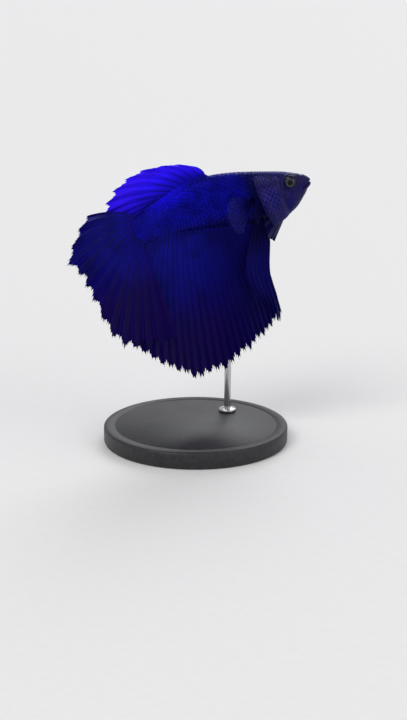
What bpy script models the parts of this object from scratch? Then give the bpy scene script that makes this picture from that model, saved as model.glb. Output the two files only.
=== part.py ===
"""Male fighting fish (Betta splendens) with its fins and gill covers spread, as a
life-size still model on a display stand.

The fish is drawn straight and level first. A place on it is (s, y, z), in shares of its
standard length: s runs back from the tip of the snout, y to the fish's left and z up.
place() then lays that drawing along the spine, which bends to the fish's right at the
tail, and the empty "fish_pose" lifts the whole fish nose up onto its stand.
"""

from math import cos, pi, radians, sin

import bmesh
import bpy
from mathutils import Vector

# ---------------------------------------------------------------- driving dimensions
STANDARD_LENGTH = 0.052          # snout to the root of the tail fin, metres
NOSE_UP = radians(14.0)          # pitch of the whole fish
SNOUT = (0.0325, 0.0065, 0.0765)  # tip of the snout above the stand's base, metres

BEND_START, BEND_END = 0.34, 1.10   # stretch of the spine that bends
TAIL_BEND = radians(42.0)           # turn of the tail to the fish's right
TAIL_DROOP = radians(3.0)           # sag of the tail
SPINE_END = 1.80                    # past the tail fin's tips
SPINE_STEPS = 360

GAP = 0.0003 / STANDARD_LENGTH      # joint between two touching pieces

HEAD_END = 0.285
TRUNK_END = 0.690
STALK_END = 1.000

# Side and top outlines of the body: (s, value) knots of smooth curves.
BACK = ((0.000, 0.008), (0.012, 0.021), (0.050, 0.041), (0.100, 0.062), (0.160, 0.080),
        (0.220, 0.095), (0.300, 0.114), (0.420, 0.138), (0.540, 0.150), (0.660, 0.134),
        (0.800, 0.098), (0.900, 0.082), (1.000, 0.077))
BELLY = ((0.000, -0.016), (0.012, -0.037), (0.050, -0.091), (0.100, -0.141),
         (0.160, -0.171), (0.220, -0.178), (0.300, -0.169), (0.420, -0.156),
         (0.540, -0.141), (0.660, -0.121), (0.800, -0.098), (0.900, -0.084),
         (1.000, -0.079))
HALF_WIDTH = ((0.000, 0.013), (0.012, 0.024), (0.050, 0.041), (0.100, 0.056),
              (0.160, 0.066), (0.220, 0.068), (0.300, 0.074), (0.420, 0.079),
              (0.540, 0.072), (0.660, 0.058), (0.800, 0.040), (0.900, 0.028),
              (1.000, 0.019))
WIDEST_LEVEL = ((0.000, -0.004), (0.100, -0.012), (0.220, -0.022), (0.420, -0.014),
                (0.700, -0.004), (1.000, -0.001))
ROUNDNESS_TOP, ROUNDNESS_BELOW = 2.25, 2.05   # powers of the section's curve

RING_POINTS = 24
HEAD_RINGS, TRUNK_RINGS, STALK_RINGS = 14, 17, 10

EYE_AT = (0.108, 0.0435, 0.013)
EYE_RADIUS, EYE_HALF_DEPTH = 0.039, 0.024

# The lower jaw is what lies under the mouth's line and before a line down from its corner.
MOUTH_START, MOUTH_CORNER, JAW_REAR = (-0.030, 0.004), (0.046, -0.040), (0.105, -0.170)
JAW_JUTS = 0.0003                # the lower jaw's tip stands out past the upper, metres

# The gill cover fans back from a hinge line. A pair runs from its top edge to its lowest.
COVER_FRONT, COVER_REAR, COVER_REAR_BULGE = 0.150, (0.304, 0.246), 0.012
COVER_TURN = (58.0, -72.0)       # degrees round the head, up from its left side
COVER_OFF_CHEEK = 0.012
COVER_FLARE, COVER_FLARE_RISE = (0.008, 0.070), 1.35   # further out at its rear edge
COVER_SAG = 0.022

# The membrane that hangs from under the covers: pairs run from its sides to its middle.
BEARD = {
    "turn": 98.0, "root": (0.236, 0.192), "root_wide": 0.088, "root_deep": 0.160,
    "centre": -0.030, "lengths": (0.080, 0.125), "outward": (0.60, 0.85), "sideways": 0.55,
    "backward": (0.80, 0.60), "lobes": 0.034, "ruffle": 0.010, "ruffles": 9.0,
}

PLATE_THICKNESS, PLATE_EDGE_SHARE = 0.0006, 0.85   # gill covers, beard, pectoral fins
FIN_THICKNESS, FIN_EDGE_SHARE = 0.0011, 0.52       # a fin's root, and its edge over that

# The three fins in the midplane, first ray to last. Angles are up from straight back and
# curls the further turn towards a ray's tip, both in degrees; the edge is cut in by comb
# between rays, sways by sway in so many waves, and leans to the left by lean times the
# power of the place across the fin.
DORSAL = {
    "root": (0.552, 0.905), "angles": (84.0, -20.0), "ease": 0.9, "curls": (-50.0, -6.0),
    "lengths": ((0.0, 0.060), (0.16, 0.170), (0.45, 0.382), (0.7, 0.410), (0.88, 0.425),
                (1.0, 0.395)),
    "rays": 11, "comb": 0.08, "sway": 0.016, "waves": 1.6, "phase": 0.10,
    "lean": 0.085, "lean_power": 1.0,
}
CAUDAL = {
    "root": (0.076, -0.078), "angles": (36.0, -84.0), "ease": 1.0, "curls": (-30.0, -6.0),
    "lengths": ((0.0, 0.305), (0.10, 0.412), (0.22, 0.522), (0.36, 0.480), (0.48, 0.510),
                (0.60, 0.612), (0.72, 0.622), (0.86, 0.600), (1.0, 0.580)),
    "rays": 18, "comb": 0.06, "sway": 0.022, "waves": 2.2, "phase": 0.35,
    "lean": -0.080, "lean_power": 2.0,
}
ANAL = {
    "root": (0.358, 0.985), "angles": (-96.0, -50.0), "ease": 2.0, "curls": (4.0, -8.0),
    "lengths": ((0.0, 0.535), (0.09, 0.592), (0.35, 0.732), (0.5, 0.826), (0.62, 0.836),
                (0.75, 0.746), (0.87, 0.646), (1.0, 0.510)),
    "rays": 20, "comb": 0.05, "sway": 0.024, "waves": 2.0, "phase": 0.15,
    "lean": 0.070, "lean_power": 2.0,
}
# Paired fins. A pair of values runs from the root to the tip, or from first ray to last.
PELVIC = {
    "root": 0.309, "lengths": (0.545, 0.490), "narrow": 0.040, "widens": 0.100,
    "tapers": 0.2, "root_share": 0.30, "forward": 0.010, "bow": 0.052, "sweep": 0.058,
    "splay": (0.024, 0.109), "sway": 0.008,
}
PECTORAL = {
    "root": (0.338, 0.346), "levels": (-0.018, -0.058), "spread": (34.0, -46.0),
    "length": 0.190, "rounded": 0.050, "sag": 0.030, "out": radians(34.0),
}

BASE_RADIUS, BASE_HEIGHT, BASE_BEVEL = 0.027, 0.005, 0.0007
ROD_RADIUS = 0.0010
ROD_FOOT = (0.0095, 0.0120)
ROD_TOUCHES_AT, ROD_TOUCHES_ANGLE = 0.440, radians(-52.0)
ROD_LEAVES, ROD_DROPS = 0.0055, 0.0090   # how far its bend runs out of the flank and down

COLOURS = {
    "skin": (0.010, 0.012, 0.230), "face": (0.050, 0.045, 0.110),
    "beard": (0.004, 0.004, 0.020), "fin": (0.020, 0.015, 0.420),
    "tail_fin": (0.012, 0.010, 0.180), "under_fin": (0.012, 0.004, 0.100),
    "pectoral": (0.080, 0.070, 0.200), "eye": (0.006, 0.006, 0.010),
    "base": (0.020, 0.020, 0.022), "rod": (0.550, 0.550, 0.560),
}


# ---------------------------------------------------------------- curves and the spine
def smooth(x):
    """0 below 0, 1 above 1, and an easy step between."""
    x = min(max(x, 0.0), 1.0)
    return x * x * (3.0 - 2.0 * x)


def mix(a, b, share):
    return a + (b - a) * share


def through(knots, x):
    """Value at x of the smooth curve through the knots."""
    if x <= knots[0][0]:
        return knots[0][1]
    if x >= knots[-1][0]:
        return knots[-1][1]
    last = len(knots) - 1
    i = max(k for k in range(last) if knots[k][0] <= x)

    def slope(k):
        low, high = max(k - 1, 0), min(k + 1, last)
        return (knots[high][1] - knots[low][1]) / (knots[high][0] - knots[low][0])

    (x0, y0), (x1, y1) = knots[i], knots[i + 1]
    span = x1 - x0
    t = (x - x0) / span
    return ((1 + 2 * t) * (1 - t) ** 2 * y0 + t * (1 - t) ** 2 * span * slope(i)
            + t * t * (3 - 2 * t) * y1 - t * t * (1 - t) * span * slope(i + 1))


def spine_frames():
    """Centre, left and up of the bent spine at even steps from the snout."""
    frames = []
    centre = Vector((0.0, 0.0, 0.0))
    step = SPINE_END / SPINE_STEPS
    for k in range(SPINE_STEPS + 1):
        bend = smooth((k * step - BEND_START) / (BEND_END - BEND_START))
        yaw, droop = TAIL_BEND * bend, TAIL_DROOP * bend
        back = Vector((-cos(yaw) * cos(droop), -sin(yaw) * cos(droop), -sin(droop)))
        left = Vector((-sin(yaw), cos(yaw), 0.0))
        frames.append((centre.copy(), left, left.cross(back)))
        centre += back * step
    return frames


FRAMES = spine_frames()


def place(s, y, z):
    """A drawn place (s, y, z) laid along the spine, in metres."""
    if s < 0.0:
        return Vector((-s, y, z)) * STANDARD_LENGTH
    at = min(s / SPINE_END, 0.9999) * SPINE_STEPS
    k = int(at)
    (c0, l0, u0), (c1, l1, u1) = FRAMES[k], FRAMES[k + 1]
    share = at - k
    centre, left, up = c0.lerp(c1, share), l0.lerp(l1, share), u0.lerp(u1, share)
    return (centre + left * y + up * z) * STANDARD_LENGTH


def section(s, angle):
    """(y, z) on the body's skin at s; the angle runs from the left side up over the back."""
    y, z = cos(angle), sin(angle)
    power = 2.0 / (ROUNDNESS_TOP if z > 0 else ROUNDNESS_BELOW)
    y = abs(y) ** power * (1 if y >= 0 else -1)
    z = abs(z) ** power * (1 if z >= 0 else -1)
    level = through(WIDEST_LEVEL, s)
    reach = through(BACK, s) - level if z > 0 else level - through(BELLY, s)
    return through(HALF_WIDTH, s) * y, level + reach * z


# ---------------------------------------------------------------- object helpers
def clear_scene():
    for obj in list(bpy.data.objects):
        bpy.data.objects.remove(obj, do_unlink=True)


def collection(name):
    group = bpy.data.collections.new(name)
    bpy.context.scene.collection.children.link(group)
    return group


def material(name, colour, roughness=0.45, metallic=0.0):
    shade = bpy.data.materials.new(name)
    shade.use_nodes = True
    principled = shade.node_tree.nodes["Principled BSDF"]
    principled.inputs["Base Color"].default_value = (*colour, 1.0)
    principled.inputs["Roughness"].default_value = roughness
    principled.inputs["Metallic"].default_value = metallic
    return shade


def add_object(name, mesh, group, parent, colour=None, roughness=0.45, metallic=0.0):
    obj = bpy.data.objects.new(name, mesh)
    group.objects.link(obj)
    obj.parent = parent
    if colour:
        mesh.materials.append(material(name, COLOURS[colour], roughness, metallic))
        if hasattr(mesh, "shade_smooth"):
            mesh.shade_smooth()
    return obj


def as_cutter(obj):
    obj.hide_render = True
    obj.display_type = "WIRE"
    return obj


def boolean(obj, cutter, operation):
    modifier = obj.modifiers.new(operation.title(), "BOOLEAN")
    modifier.operation = operation
    modifier.object = cutter


def loft(name, start, end, stations):
    """A closed length of the body between two places on the spine."""
    mesh = bpy.data.meshes.new(name)
    bm = bmesh.new()
    rings = []
    for k in range(stations):
        s = mix(start, end, k / (stations - 1))
        ring = [bm.verts.new(place(s, *section(s, 2 * pi * i / RING_POINTS)))
                for i in range(RING_POINTS)]
        rings.append(ring)
    for front, rear in zip(rings, rings[1:]):
        for i in range(RING_POINTS):
            j = (i + 1) % RING_POINTS
            bm.faces.new((front[i], rear[i], rear[j], front[j]))
    bm.faces.new(rings[0])
    bm.faces.new(reversed(rings[-1]))
    bmesh.ops.recalc_face_normals(bm, faces=bm.faces)
    bm.to_mesh(mesh)
    bm.free()
    return mesh


def sheet(name, columns, rows, point, group, parent, colour, thickness, edge_share):
    """A thin piece: the open surface point(u, v), u and v from 0 to 1, made solid.

    v runs from the root to the free edge, where the piece has edge_share of its
    thickness.
    """
    mesh = bpy.data.meshes.new(name)
    bm = bmesh.new()
    grid = [[bm.verts.new(point(c / columns, r / rows)) for c in range(columns + 1)]
            for r in range(rows + 1)]
    for r in range(rows):
        for c in range(columns):
            bm.faces.new((grid[r][c], grid[r][c + 1], grid[r + 1][c + 1], grid[r + 1][c]))
    bm.to_mesh(mesh)
    bm.free()
    obj = add_object(name, mesh, group, parent, colour)
    root = obj.vertex_groups.new(name="root")
    for r in range(rows + 1):
        first = r * (columns + 1)
        root.add(range(first, first + columns + 1), 1.0 - r / rows, "REPLACE")
    solidify = obj.modifiers.new("Solidify", "SOLIDIFY")
    solidify.thickness = thickness
    solidify.offset = 0.0
    solidify.vertex_group = root.name
    solidify.thickness_vertex_group = edge_share
    return obj


# ---------------------------------------------------------------- head
def head(parts, cutters, pose):
    obj = add_object("head", loft("head", 0.0, HEAD_END, HEAD_RINGS), parts, pose, "face")
    boolean(obj, jaw_wedge("jaw_cut", cutters, pose, GAP), "DIFFERENCE")
    for side, name in ((1, "left"), (-1, "right")):
        socket = eyeball("socket_" + name, side, GAP)
        boolean(obj, as_cutter(add_object("socket_" + name, socket, cutters, pose)),
                "DIFFERENCE")
    jaw = add_object("lower_jaw", loft("lower_jaw", 0.0, HEAD_END, HEAD_RINGS), parts, pose,
                     "face")
    boolean(jaw, jaw_wedge("jaw_keep", cutters, pose, 0.0), "INTERSECT")
    jaw.location.x = JAW_JUTS


def jaw_wedge(name, cutters, pose, grow):
    """Prism round the lower jaw, its faces moved out by grow."""
    (start_s, start_z), (corner_s, corner_z), (rear_s, rear_z) = (
        MOUTH_START, MOUTH_CORNER, JAW_REAR)
    outline = ((start_s, start_z + grow), (corner_s + grow, corner_z + grow),
               (rear_s + grow, rear_z), (start_s, rear_z))
    mesh = bpy.data.meshes.new(name)
    bm = bmesh.new()
    face = bm.faces.new([bm.verts.new(place_flat(s, -0.1, z)) for s, z in outline])
    side = bmesh.ops.extrude_face_region(bm, geom=[face])["geom"]
    wide = Vector((0.0, 0.2 * STANDARD_LENGTH, 0.0))
    bmesh.ops.translate(bm, vec=wide,
                        verts=[v for v in side if isinstance(v, bmesh.types.BMVert)])
    bmesh.ops.recalc_face_normals(bm, faces=bm.faces)
    bm.to_mesh(mesh)
    bm.free()
    return as_cutter(add_object(name, mesh, cutters, pose))


def place_flat(s, y, z):
    return Vector((-s, y, z)) * STANDARD_LENGTH


def eyeball(name, side, grow):
    mesh = bpy.data.meshes.new(name)
    bm = bmesh.new()
    bmesh.ops.create_uvsphere(bm, u_segments=18, v_segments=10, radius=1.0)
    radius, half_depth = EYE_RADIUS + grow, EYE_HALF_DEPTH + grow
    bmesh.ops.scale(bm, verts=bm.verts,
                    vec=Vector((radius, radius, half_depth)) * STANDARD_LENGTH)
    bmesh.ops.rotate(bm, verts=bm.verts, cent=(0, 0, 0),
                     matrix=Vector((0, 0, 1)).rotation_difference((0, 1, 0)).to_matrix())
    s, y, z = EYE_AT
    bmesh.ops.translate(bm, verts=bm.verts, vec=place_flat(s, side * y, z))
    bm.to_mesh(mesh)
    bm.free()
    return mesh


def eyes(parts, pose):
    for side, name in ((1, "eye_left"), (-1, "eye_right")):
        add_object(name, eyeball(name, side, 0.0), parts, pose, "eye", 0.08)


def cover_point(side, u, v):
    """Gill cover: u runs down from its top edge, v back from its hinge."""
    rear = mix(*COVER_REAR, u) + COVER_REAR_BULGE * sin(pi * u)
    s = mix(COVER_FRONT, rear, v)
    y, z = section(min(s, HEAD_END), radians(mix(*COVER_TURN, u)))
    flare = mix(*COVER_FLARE, sin(0.5 * pi * min(1.0, COVER_FLARE_RISE * u))) * v ** 1.1
    return place_flat(s, side * (y + COVER_OFF_CHEEK + flare), z - COVER_SAG * v * u)


def gill_covers(parts, pose):
    for side, name in ((1, "gill_cover_left"), (-1, "gill_cover_right")):
        sheet(name, 11, 6, lambda u, v, side=side: cover_point(side, u, v), parts, pose,
              "face", PLATE_THICKNESS, PLATE_EDGE_SHARE)


def beard_point(u, v):
    """Gill membrane: u runs from the right side under the throat to the left."""
    turn = radians(mix(-BEARD["turn"], BEARD["turn"], u))
    low = max(cos(turn), 0.0)
    length = mix(*BEARD["lengths"], low) * v
    ruffle = BEARD["ruffle"] * sin(BEARD["ruffles"] * turn) * v
    lobe = BEARD["lobes"] * sin(2 * turn) ** 2 * low * v
    out = length * mix(*BEARD["outward"], low) + ruffle
    return place_flat(mix(*BEARD["root"], low) + length * mix(*BEARD["backward"], low) + lobe,
                      sin(turn) * (BEARD["root_wide"] + BEARD["sideways"] * out),
                      BEARD["centre"] - cos(turn) * (BEARD["root_deep"] + out))


def throat_membrane(parts, pose):
    sheet("throat_membrane", 28, 4, beard_point, parts, pose, "beard", PLATE_THICKNESS,
          PLATE_EDGE_SHARE)


# ---------------------------------------------------------------- trunk and tail
def body_lengths(parts, pose):
    add_object("trunk", loft("trunk", HEAD_END + GAP, TRUNK_END, TRUNK_RINGS), parts, pose,
               "skin")
    add_object("tail_stalk", loft("tail_stalk", TRUNK_END + GAP, STALK_END, STALK_RINGS),
               parts, pose, "skin")


# ---------------------------------------------------------------- fins
def fan_point(fin, root, u, v):
    """A place on a midplane fin: u from its first ray to its last, v out along the ray."""
    angle = radians(mix(*fin["angles"], u ** fin["ease"]) + 0.5 * mix(*fin["curls"], u) * v)
    cut = 1.0 - fin["comb"] * v * sin(pi * fin["rays"] * u) ** 2
    reach = through(fin["lengths"], u) * cut * v
    sway = fin["sway"] * sin(2 * pi * (fin["waves"] * u + fin["phase"])) * v ** 1.4
    lean = fin["lean"] * u ** fin["lean_power"] * v ** 0.7
    return place(root[0] + reach * cos(angle), sway + lean, root[1] + reach * sin(angle))


def dorsal_point(u, v):
    s = mix(*DORSAL["root"], u)
    return fan_point(DORSAL, (s, through(BACK, s) + 2 * GAP), u, v)


def caudal_point(u, v):
    return fan_point(CAUDAL, (STALK_END + GAP, mix(*CAUDAL["root"], u)), u, v)


def anal_point(u, v):
    s = mix(*ANAL["root"], u)
    return fan_point(ANAL, (s, through(BELLY, s) - 2 * GAP), u, v)


def pelvic_point(side, u, v):
    """A long blade under the throat: u from its front edge to its rear, v down."""
    bulge = sin(pi * min(1.0, 0.94 * v + 0.03)) ** 0.6
    width = PELVIC["narrow"] + PELVIC["widens"] * bulge * (1.0 - PELVIC["tapers"] * v)
    swept = PELVIC["bow"] * sin(pi * v) ** 2 + PELVIC["sweep"] * v * v - PELVIC["forward"] * v
    root, length = PELVIC["root"], mix(*PELVIC["lengths"], u)
    splay = mix(*PELVIC["splay"], v) + PELVIC["sway"] * sin(2 * pi * (u + v)) * v
    return place(root + swept + width * (u - PELVIC["root_share"]), side * splay,
                 through(BELLY, root) - 2 * GAP - length * v)


def pectoral_point(side, u, v):
    """A rounded fan behind the gill cover: u from its top ray to its lowest, v out."""
    spread = radians(mix(*PECTORAL["spread"], u))
    length = PECTORAL["length"] - PECTORAL["rounded"] * (2 * u - 1) ** 2
    reach = length * v * cos(spread)
    root_y = through(HALF_WIDTH, PECTORAL["root"][0]) + 3 * GAP
    return place(mix(*PECTORAL["root"], u) + reach * cos(PECTORAL["out"]),
                 side * (root_y + reach * sin(PECTORAL["out"])),
                 mix(*PECTORAL["levels"], u) + length * v * sin(spread) - PECTORAL["sag"] * v)


def fins(parts, pose):
    thick, thin = (FIN_THICKNESS, FIN_EDGE_SHARE), (PLATE_THICKNESS, PLATE_EDGE_SHARE)
    sheet("dorsal_fin", 22, 7, dorsal_point, parts, pose, "fin", *thick)
    sheet("caudal_fin", 36, 8, caudal_point, parts, pose, "tail_fin", *thick)
    sheet("anal_fin", 40, 7, anal_point, parts, pose, "under_fin", *thick)
    for side, name in ((1, "left"), (-1, "right")):
        sheet("pelvic_fin_" + name, 5, 11,
              lambda u, v, side=side: pelvic_point(side, u, v), parts, pose, "beard",
              *thick)
        sheet("pectoral_fin_" + name, 8, 5,
              lambda u, v, side=side: pectoral_point(side, u, v), parts, pose,
              "pectoral", *thin)


# ---------------------------------------------------------------- stand
def stand(parts, pose):
    mesh = bpy.data.meshes.new("stand_base")
    bm = bmesh.new()
    bmesh.ops.create_cone(bm, cap_ends=True, segments=48, radius1=BASE_RADIUS,
                          radius2=BASE_RADIUS, depth=BASE_HEIGHT)
    bm.to_mesh(mesh)
    bm.free()
    base = add_object("stand_base", mesh, parts, None, "base", 0.35)
    base.location.z = BASE_HEIGHT / 2
    bevel = base.modifiers.new("Bevel", "BEVEL")
    bevel.width = BASE_BEVEL
    bevel.segments = 2
    bevel.limit_method = "ANGLE"

    top, outward = rod_contact(pose)
    foot = Vector((*ROD_FOOT, BASE_HEIGHT + GAP * STANDARD_LENGTH))
    controls = (top, top + outward * ROD_LEAVES, Vector((*ROD_FOOT, top.z - ROD_DROPS)),
                foot)
    curve = bpy.data.curves.new("stand_rod", "CURVE")
    curve.dimensions = "3D"
    curve.bevel_depth = ROD_RADIUS
    curve.bevel_resolution = 2
    curve.use_fill_caps = True
    spline = curve.splines.new("POLY")
    points = [bezier(controls, k / 14) for k in range(15)]
    spline.points.add(len(points) - 1)
    for control, point in zip(spline.points, points):
        control.co = (*point, 1.0)
    spline.use_smooth = True
    add_object("stand_rod", curve, parts, None, "rod", 0.2, 1.0)


def bezier(controls, t):
    a, b, c, d = controls
    return (a * (1 - t) ** 3 + b * 3 * t * (1 - t) ** 2 + c * 3 * t * t * (1 - t)
            + d * t ** 3)


def rod_contact(pose):
    """Where the rod ends, just off the left flank, and the way out from the skin."""
    def skin(s, angle):
        return pose.matrix_world @ place(s, *section(s, angle))

    at = skin(ROD_TOUCHES_AT, ROD_TOUCHES_ANGLE)
    along = skin(ROD_TOUCHES_AT + 0.01, ROD_TOUCHES_ANGLE) - at
    around = skin(ROD_TOUCHES_AT, ROD_TOUCHES_ANGLE + 0.02) - at
    outward = along.cross(around).normalized()
    if outward.z > 0:
        outward.negate()
    return at + outward * GAP * STANDARD_LENGTH, outward


def main():
    clear_scene()
    parts, cutters = collection("betta_fish"), collection("cutters")
    pose = bpy.data.objects.new("fish_pose", None)
    parts.objects.link(pose)
    pose.location = SNOUT
    pose.rotation_euler = (0.0, -NOSE_UP, 0.0)
    bpy.context.view_layer.update()
    head(parts, cutters, pose)
    eyes(parts, pose)
    gill_covers(parts, pose)
    throat_membrane(parts, pose)
    body_lengths(parts, pose)
    fins(parts, pose)
    stand(parts, pose)


main()
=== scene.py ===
"""The looks of the betta fish model: skin, scales, fins, gill membrane, eyes and stand.

The fish is drawn straight and level, as in the CAD: a place (s, y, z) is in shares of its
standard length, s back from the snout, y to its left, z up. place() lays it along the bent
spine and onto the stand, so every piece lands where its CAD node is.
"""

from math import cos, pi, radians, sin

import bpy
import numpy as np
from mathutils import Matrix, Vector
from mathutils.bvhtree import BVHTree


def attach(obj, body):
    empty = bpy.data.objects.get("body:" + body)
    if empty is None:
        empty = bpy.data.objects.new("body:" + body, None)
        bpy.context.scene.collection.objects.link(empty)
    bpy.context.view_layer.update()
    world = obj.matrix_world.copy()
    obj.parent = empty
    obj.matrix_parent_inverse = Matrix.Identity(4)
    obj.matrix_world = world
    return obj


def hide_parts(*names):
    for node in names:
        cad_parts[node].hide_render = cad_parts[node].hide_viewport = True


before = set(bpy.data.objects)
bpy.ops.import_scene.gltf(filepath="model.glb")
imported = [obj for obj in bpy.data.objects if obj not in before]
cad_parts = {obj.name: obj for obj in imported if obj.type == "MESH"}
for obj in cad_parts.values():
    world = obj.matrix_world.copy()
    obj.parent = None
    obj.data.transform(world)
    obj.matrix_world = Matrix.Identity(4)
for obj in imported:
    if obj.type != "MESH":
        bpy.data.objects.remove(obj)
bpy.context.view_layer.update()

# ---------------- the CAD's own shape
LENGTH = 0.052  # snout to the root of the tail fin, metres
MILLIMETRE = 0.001
MM = MILLIMETRE / LENGTH  # one millimetre in shares of the fish's length
SIDES = ((1, "left"), (-1, "right"))
NOSE_UP = radians(14.0)
SNOUT = np.array((0.0325, 0.0065, 0.0765))
BEND_START, BEND_END = 0.34, 1.1
TAIL_BEND, TAIL_DROOP = radians(42.0), radians(3.0)
SPINE_END, SPINE_STEPS = 1.8, 360

# Along the body, height of its back, height of its belly.
OUTLINE = (
    (0.000, 0.008, -0.016), (0.012, 0.021, -0.037), (0.050, 0.041, -0.091),
    (0.100, 0.062, -0.141), (0.160, 0.080, -0.171), (0.220, 0.095, -0.178),
    (0.300, 0.114, -0.169), (0.420, 0.138, -0.156), (0.540, 0.150, -0.141),
    (0.660, 0.134, -0.121), (0.800, 0.098, -0.098), (0.900, 0.082, -0.084),
    (1.000, 0.076, -0.078), (1.030, 0.065, -0.067), (1.050, 0.043, -0.045),
    (1.062, 0.012, -0.014))
BACK, BELLY = ([(row[0], row[k]) for row in OUTLINE] for k in (1, 2))
HALF_WIDTH = (
    (0.000, 0.013), (0.012, 0.024), (0.050, 0.041), (0.100, 0.056), (0.160, 0.066),
    (0.220, 0.068), (0.300, 0.074), (0.420, 0.079), (0.540, 0.072), (0.660, 0.058),
    (0.800, 0.040), (0.900, 0.028), (1.000, 0.019), (1.040, 0.010), (1.062, 0.004))
WIDEST_LEVEL = (
    (0.000, -0.004), (0.100, -0.012), (0.220, -0.022), (0.420, -0.014), (0.700, -0.004),
    (1.000, -0.001))
ROUND_TOP, ROUND_BELOW = 2.25, 2.05  # powers of the section's curve: 2 is an ellipse
THINNEST = 0.2 * MM

HEAD_END = 0.285
COVER_FRONT, COVER_REAR, COVER_REAR_BULGE = 0.15, (0.304, 0.246), 0.012
COVER_TURN, COVER_OFF_CHEEK, COVER_SAG = (58.0, -72.0), 0.012, 0.022
COVER_FLARE, COVER_FLARE_RISE = (0.008, 0.07), 1.35
EYE_AT = np.array((0.108, 0.0435, 0.013))
EYE_RADIUS, EYE_HALF_DEPTH = 0.039, 0.024
MOUTH_START, MOUTH_CORNER = (-0.03, 0.004), (0.046, -0.04)
JAW_JUTS = 0.0058
GAP = 0.3 * MM  # joint between two touching CAD pieces
COAT = 0.12 * MM  # the skin lies this far inside the CAD solids
A_LITTLE = 0.02  # radians, to find a direction on the body's surface


def ease(x, low=0.0, high=1.0):
    """0 at low, 1 at high, smooth between; high may be the smaller."""
    share = np.clip((x - low) / (high - low), 0.0, 1.0)
    return share * share * (3.0 - 2.0 * share)


def mix(a, b, share):
    return a + (b - a) * share


def vectors(*values):
    """Arrays brought to one shape and joined into vectors."""
    return np.stack(np.broadcast_arrays(*values), -1)


def unit(arrows):
    """Vectors brought to length 1."""
    return arrows / np.maximum(np.linalg.norm(arrows, axis=-1, keepdims=True), 1e-12)


def through(knots, x):
    """The smooth curve through the knots, at each x."""
    kx, ky = np.array(knots).T
    x = np.clip(x, kx[0], kx[-1])
    k, last = np.arange(len(kx)), len(kx) - 1
    low, high = np.maximum(k - 1, 0), np.minimum(k + 1, last)
    slope = (ky[high] - ky[low]) / (kx[high] - kx[low])
    i = np.clip(np.searchsorted(kx, x, side="right") - 1, 0, last - 1)
    span = kx[i + 1] - kx[i]
    t = (x - kx[i]) / span
    return ((1 + 2 * t) * (1 - t) ** 2 * ky[i] + t * (1 - t) ** 2 * span * slope[i]
            + t * t * (3 - 2 * t) * ky[i + 1] - t * t * (1 - t) * span * slope[i + 1])


def spine():
    """Centre, left and up of the bent spine at even steps from the snout."""
    step = SPINE_END / SPINE_STEPS
    s = np.arange(SPINE_STEPS + 1) * step
    bend = ease(s, BEND_START, BEND_END)
    yaw, droop = TAIL_BEND * bend, TAIL_DROOP * bend
    back = np.stack((-np.cos(yaw) * np.cos(droop), -np.sin(yaw) * np.cos(droop),
                     -np.sin(droop)), axis=1)
    left = np.stack((-np.sin(yaw), np.cos(yaw), 0 * yaw), axis=1)
    centre = np.vstack((np.zeros(3), np.cumsum(back[:-1] * step, axis=0)))
    return s, centre, left, np.cross(left, back)


SPINE = spine()
TILT = np.array(((cos(NOSE_UP), 0, -sin(NOSE_UP)), (0, 1, 0), (sin(NOSE_UP), 0, cos(NOSE_UP))))


def place(drawn):
    """Drawn places, an array ending in (s, y, z), as points in the row frame, in metres."""
    s, y, z = drawn[..., 0], drawn[..., 1:2], drawn[..., 2:3]
    at = np.clip(s, 0.0, SPINE_END)
    centre, left, up = (np.stack([np.interp(at, SPINE[0], axis[:, k]) for k in range(3)], -1)
                        for axis in SPINE[1:])
    centre[..., 0] -= np.minimum(s, 0.0)
    return (centre + left * y + up * z) * LENGTH @ TILT.T + SNOUT


def section(s, angle, inset=COAT):
    """(y, z) of the body's side at s, the angle taken from its left side up over its back."""
    y, z = np.cos(angle), np.sin(angle)
    power = 2.0 / np.where(z > 0, ROUND_TOP, ROUND_BELOW)
    level = through(WIDEST_LEVEL, s)
    reach = np.where(z > 0, through(BACK, s) - level, level - through(BELLY, s)) - inset
    wide = np.maximum(through(HALF_WIDTH, s) - inset, THINNEST)
    return (wide * np.sign(y) * np.abs(y) ** power,
            level + reach * np.sign(z) * np.abs(z) ** power)


def body_point(s, angle, lift=0.0):
    """Drawn place on the skin of the body, lifted off it by lift."""
    y, z = section(s, angle)
    y1, z1 = section(s, angle + A_LITTLE)
    away = unit(vectors(z1 - z, y - y1))
    return vectors(s, y + lift * away[..., 0], z + lift * away[..., 1])


# ---------------- meshes
def add_object(name, data):
    obj = bpy.data.objects.new(name, data)
    bpy.context.scene.collection.objects.link(obj)
    return obj


def mesh_object(name, points, faces):
    """An object from points in the row frame and blocks of faces."""
    mesh = bpy.data.meshes.new(name)
    mesh.from_pydata(points.tolist(), [], [face for block in faces for face in block.tolist()])
    return add_object(name, mesh)


def read(items, key, kind, width):
    """What a mesh's vertices, normals or corners have, in rows of this width."""
    values = np.empty((len(items), width), kind)
    items.foreach_get(key, values.ravel())
    return values


def turned_inward(points, faces):
    """Whether closed shapes have their faces turned inward, from the sign of their volume."""
    volume = 0.0
    for block in faces:
        for k in range(1, block.shape[1] - 1):
            a, b, c = (points[block[:, corner]] for corner in (0, k, k + 1))
            volume += np.sum(a * np.cross(b, c))
    return volume < 0


def solid(name, points, faces, shade):
    """A shaded object of closed shapes, with their faces turned outward."""
    obj = mesh_object(name, points, faces)
    if turned_inward(points, faces):
        obj.data.flip_normals()
    obj.data.materials.append(shade.material)
    return obj


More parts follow.
